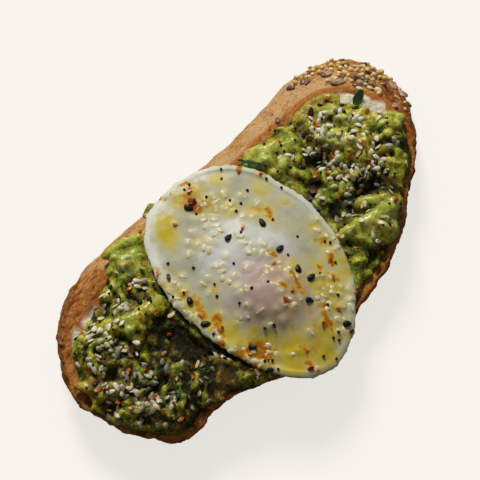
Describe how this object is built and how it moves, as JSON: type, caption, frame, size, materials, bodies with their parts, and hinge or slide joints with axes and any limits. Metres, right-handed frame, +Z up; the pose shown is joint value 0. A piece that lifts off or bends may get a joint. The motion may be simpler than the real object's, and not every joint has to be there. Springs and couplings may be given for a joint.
{
  "type": "avocado toast with fried egg",
  "caption": "Slice of seeded bread cut on the slant, spread with mashed avocado and topped with a soft fried egg.",
  "frame": {"origin": "middle of the underside of the whole part's box, on the surface it rests on", "axes": "+X along the slice towards its pointed, seeded end, +Y across the slice towards the side where the crust slopes outwards, +Z up"},
  "size_m": [0.1938, 0.1074, 0.0325],
  "materials": {
    "bread": "toasted wheat crust, matte and blistered, tan to dark brown, with a pale open crumb on the cut face",
    "avocado": "coarsely mashed avocado, moist and slightly glossy, yellow-green to dark green",
    "egg": "soft set egg white, wet and glossy, stained yellow and orange by oil and chilli, with a filmed yolk",
    "white_seed": "hulled sesame, millet and dried garlic, cream to straw yellow, satin",
    "dark_seed": "black sesame and poppy seed, near black, satin",
    "spice": "dried chilli and pepper flakes, orange red to maroon, slightly glossy",
    "herb": "fresh chopped herb, dark green, thin and slightly glossy"
  },
  "bodies": {
    "root": {"bread_slice": "bread", "avocado_mash": "avocado", "fried_egg": "egg"}
  },
  "joints": []
}
